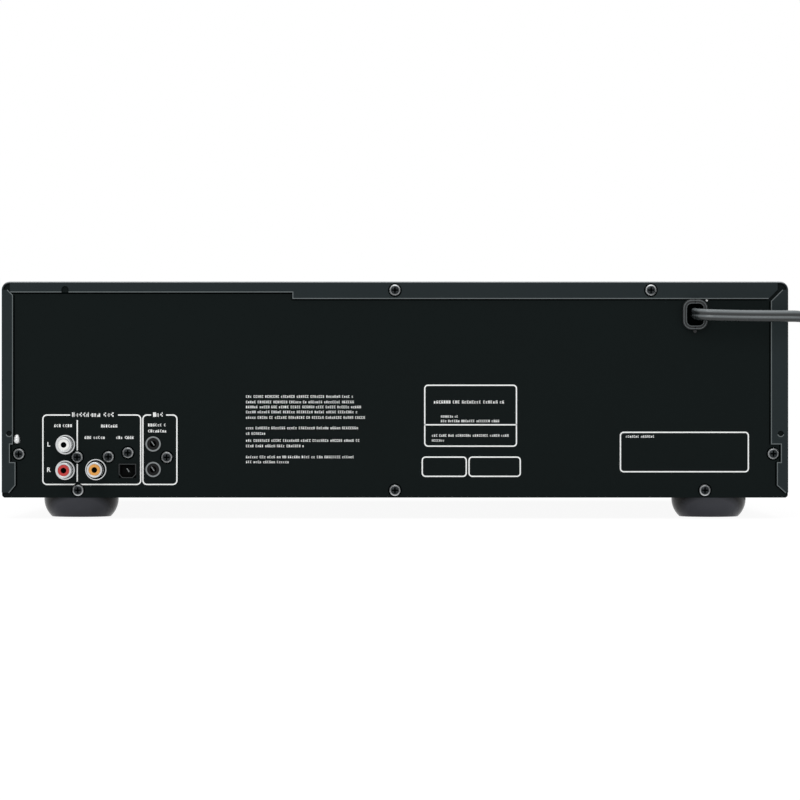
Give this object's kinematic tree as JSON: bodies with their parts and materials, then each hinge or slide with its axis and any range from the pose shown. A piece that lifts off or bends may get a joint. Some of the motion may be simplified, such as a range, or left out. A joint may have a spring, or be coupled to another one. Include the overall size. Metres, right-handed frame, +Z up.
{
  "type": "carousel cd changer",
  "caption": "Hi-fi disc changer with a sliding drawer, a turning disc carousel, a lifting pickup, front controls, rear sockets and a fixed mains lead.",
  "frame": {"origin": "on the surface it stands on, under the middle of the case, its knobs and sockets included and its lead left out", "axes": "+Z up, +Y out of the rear panel, the controls and drawer face -Y, +X to the left seen from behind"},
  "size_m": [0.5885, 0.4392, 0.131],
  "materials": {
    "case_paint": "fine satin black",
    "front_plastic": "satin black",
    "smoked_window": "smoked, gloss",
    "foot_plastic": "gloss black",
    "screw_steel": "bright plated",
    "socket_plastic": "black",
    "socket_metal": "bright nickel",
    "insulator_white": "white",
    "insulator_red": "red",
    "insulator_orange": "orange",
    "bushing_plastic": "black",
    "cord_sheath": "soft satin sheath",
    "plug_plastic": "satin black",
    "blade_metal": "plated",
    "core_steel": "lacquered laminations",
    "winding_tape": "yellow tape",
    "board_laminate": "bare laminate",
    "component_black": "black",
    "frame_plastic": "dark grey",
    "bridge_steel": "zinc plated",
    "tray_plastic": "satin black",
    "gear_plastic": "natural white",
    "motor_metal": "bright",
    "belt_rubber": "matt",
    "turntable_plastic": "black",
    "button_plastic": "gloss black",
    "dial_plastic": "black",
    "phones_plastic": "black"
  },
  "bodies": {
    "case": {"top_cover": "case_paint", "rear_panel": "case_paint", "bottom_chassis": "case_paint", "front_panel": "front_plastic", "display_window": "smoked_window", "feet": "foot_plastic", "case_screws": "screw_steel", "rca_housings": "socket_plastic", "rca_shells": "socket_metal", "rca_insulator_left": "insulator_white", "rca_insulator_right": "insulator_red", "rca_insulator_coaxial": "insulator_orange", "optical_jack": "socket_plastic", "remote_jacks": "socket_plastic", "cord_bushing": "bushing_plastic", "power_cord": "cord_sheath", "cord_coil": "cord_sheath", "plug_body": "plug_plastic", "plug_blades": "blade_metal", "coil_tie": "plug_plastic", "transformer_core": "core_steel", "transformer_winding": "winding_tape", "main_board": "board_laminate", "board_parts": "component_black", "front_board": "board_laminate", "loading_frame": "frame_plastic", "clamper_bridge": "bridge_steel", "loading_motor": "motor_metal", "loading_belt": "belt_rubber", "headphone_jack": "phones_plastic"},
    "drawer": {"drawer_tray": "tray_plastic", "drawer_front": "front_plastic", "carousel_motor": "motor_metal"},
    "carousel": {"carousel": "tray_plastic"},
    "carousel_gear": {"carousel_gear": "gear_plastic"},
    "drawer_gear": {"drawer_gear": "gear_plastic"},
    "loading_pulley": {"loading_pulley": "gear_plastic"},
    "cam": {"cam_slider": "frame_plastic"},
    "lift": {"lift_frame": "frame_plastic", "pickup_deck": "bridge_steel", "spindle_motor": "motor_metal", "guide_rods": "motor_metal"},
    "turntable": {"turntable": "turntable_plastic"},
    "pickup": {"laser_pickup": "turntable_plastic"},
    "sled_gear": {"sled_gear": "gear_plastic"},
    "clamper": {"clamper": "gear_plastic"},
    "optical_shutter": {"optical_shutter": "socket_plastic"},
    "jog_dial": {"jog_dial": "dial_plastic"},
    "level_knob": {"level_knob": "dial_plastic"},
    "power_button": {"power_button": "button_plastic"},
    "play_pause_button": {"play_pause_button": "button_plastic"},
    "stop_button": {"stop_button": "button_plastic"},
    "open_close_button": {"open_close_button": "button_plastic"},
    "disc_skip_button": {"disc_skip_button": "button_plastic"},
    "disc_button_1": {"disc_button_1": "button_plastic"},
    "disc_button_2": {"disc_button_2": "button_plastic"},
    "disc_button_3": {"disc_button_3": "button_plastic"},
    "disc_button_4": {"disc_button_4": "button_plastic"},
    "disc_button_5": {"disc_button_5": "button_plastic"},
    "disc_button_6": {"disc_button_6": "button_plastic"}
  },
  "joints": [
    {"name": "drawer_slide", "type": "slide", "parent": "case", "child": "drawer", "axis": [0, -1, 0], "range_m": [0, 0.25]},
    {"name": "carousel_spin", "type": "hinge", "parent": "drawer", "child": "carousel", "pos_m": [0, -0.004, 0.1], "axis": [0, 0, 1], "continuous": true},
    {"name": "carousel_gear_spin", "type": "hinge", "parent": "drawer", "child": "carousel_gear", "pos_m": [0.13576, -0.13977, 0.094], "axis": [0, 0, 1], "continuous": true},
    {"name": "drawer_gear_spin", "type": "hinge", "parent": "case", "child": "drawer_gear", "pos_m": [-0.155, -0.15, 0.082], "axis": [0, 0, 1], "range_deg": [-10, 965]},
    {"name": "loading_pulley_spin", "type": "hinge", "parent": "case", "child": "loading_pulley", "pos_m": [-0.119, -0.15, 0.078], "axis": [0, 0, 1], "range_deg": [-4790, 10]},
    {"name": "cam_slide", "type": "slide", "parent": "case", "child": "cam", "axis": [0, 1, 0], "range_m": [0, 0.038]},
    {"name": "lift_slide", "type": "slide", "parent": "case", "child": "lift", "axis": [0, 0, 1], "range_m": [0, 0.019]},
    {"name": "turntable_spin", "type": "hinge", "parent": "lift", "child": "turntable", "pos_m": [0, 0.1205, 0.084], "axis": [0, 0, 1], "continuous": true},
    {"name": "pickup_slide", "type": "slide", "parent": "lift", "child": "pickup", "axis": [0, -1, 0], "range_m": [0, 0.034]},
    {"name": "sled_gear_spin", "type": "hinge", "parent": "lift", "child": "sled_gear", "pos_m": [0.028, 0.098, 0.072], "axis": [0, 0, 1], "range_deg": [-5, 250]},
    {"name": "clamper_spin", "type": "hinge", "parent": "case", "child": "clamper", "pos_m": [0, 0.1205, 0.11], "axis": [0, 0, 1], "continuous": true},
    {"name": "optical_shutter_hinge", "type": "hinge", "parent": "case", "child": "optical_shutter", "pos_m": [0.1479, 0.2038, 0.0288], "axis": [-1, 0, 0], "range_deg": [0, 80], "stiffness_Nm_per_rad": 0.0002, "springref_deg": -17.19},
    {"name": "jog_dial_turn", "type": "hinge", "parent": "case", "child": "jog_dial", "pos_m": [0.178, -0.2, 0.038], "axis": [0, -1, 0], "continuous": true},
    {"name": "level_knob_turn", "type": "hinge", "parent": "case", "child": "level_knob", "pos_m": [-0.16, -0.2, 0.028], "axis": [0, -1, 0], "range_deg": [-150, 150]},
    {"name": "power_press", "type": "slide", "parent": "case", "child": "power_button", "axis": [0, 1, 0], "range_m": [0, 0.001], "stiffness_N_per_m": 400, "springref_m": -0.002},
    {"name": "play_pause_press", "type": "slide", "parent": "case", "child": "play_pause_button", "axis": [0, 1, 0], "range_m": [0, 0.001], "stiffness_N_per_m": 400, "springref_m": -0.002},
    {"name": "stop_press", "type": "slide", "parent": "case", "child": "stop_button", "axis": [0, 1, 0], "range_m": [0, 0.001], "stiffness_N_per_m": 400, "springref_m": -0.002},
    {"name": "open_close_press", "type": "slide", "parent": "case", "child": "open_close_button", "axis": [0, 1, 0], "range_m": [0, 0.001], "stiffness_N_per_m": 400, "springref_m": -0.002},
    {"name": "disc_skip_press", "type": "slide", "parent": "case", "child": "disc_skip_button", "axis": [0, 1, 0], "range_m": [0, 0.001], "stiffness_N_per_m": 400, "springref_m": -0.002},
    {"name": "disc_1_press", "type": "slide", "parent": "case", "child": "disc_button_1", "axis": [0, 1, 0], "range_m": [0, 0.001], "stiffness_N_per_m": 400, "springref_m": -0.002},
    {"name": "disc_2_press", "type": "slide", "parent": "case", "child": "disc_button_2", "axis": [0, 1, 0], "range_m": [0, 0.001], "stiffness_N_per_m": 400, "springref_m": -0.002},
    {"name": "disc_3_press", "type": "slide", "parent": "case", "child": "disc_button_3", "axis": [0, 1, 0], "range_m": [0, 0.001], "stiffness_N_per_m": 400, "springref_m": -0.002},
    {"name": "disc_4_press", "type": "slide", "parent": "case", "child": "disc_button_4", "axis": [0, 1, 0], "range_m": [0, 0.001], "stiffness_N_per_m": 400, "springref_m": -0.002},
    {"name": "disc_5_press", "type": "slide", "parent": "case", "child": "disc_button_5", "axis": [0, 1, 0], "range_m": [0, 0.001], "stiffness_N_per_m": 400, "springref_m": -0.002},
    {"name": "disc_6_press", "type": "slide", "parent": "case", "child": "disc_button_6", "axis": [0, 1, 0], "range_m": [0, 0.001], "stiffness_N_per_m": 400, "springref_m": -0.002}
  ],
  "couplings": [
    {"joint": "carousel_gear_spin", "follows": "carousel_spin", "ratio": -15},
    {"joint": "drawer_gear_spin", "follows": "drawer_slide", "rad_per_m": 66.667},
    {"joint": "loading_pulley_spin", "follows": "drawer_slide", "rad_per_m": -333.33},
    {"joint": "lift_slide", "follows": "cam_slide", "ratio": 0.5},
    {"joint": "sled_gear_spin", "follows": "pickup_slide", "rad_per_m": 125}
  ]
}
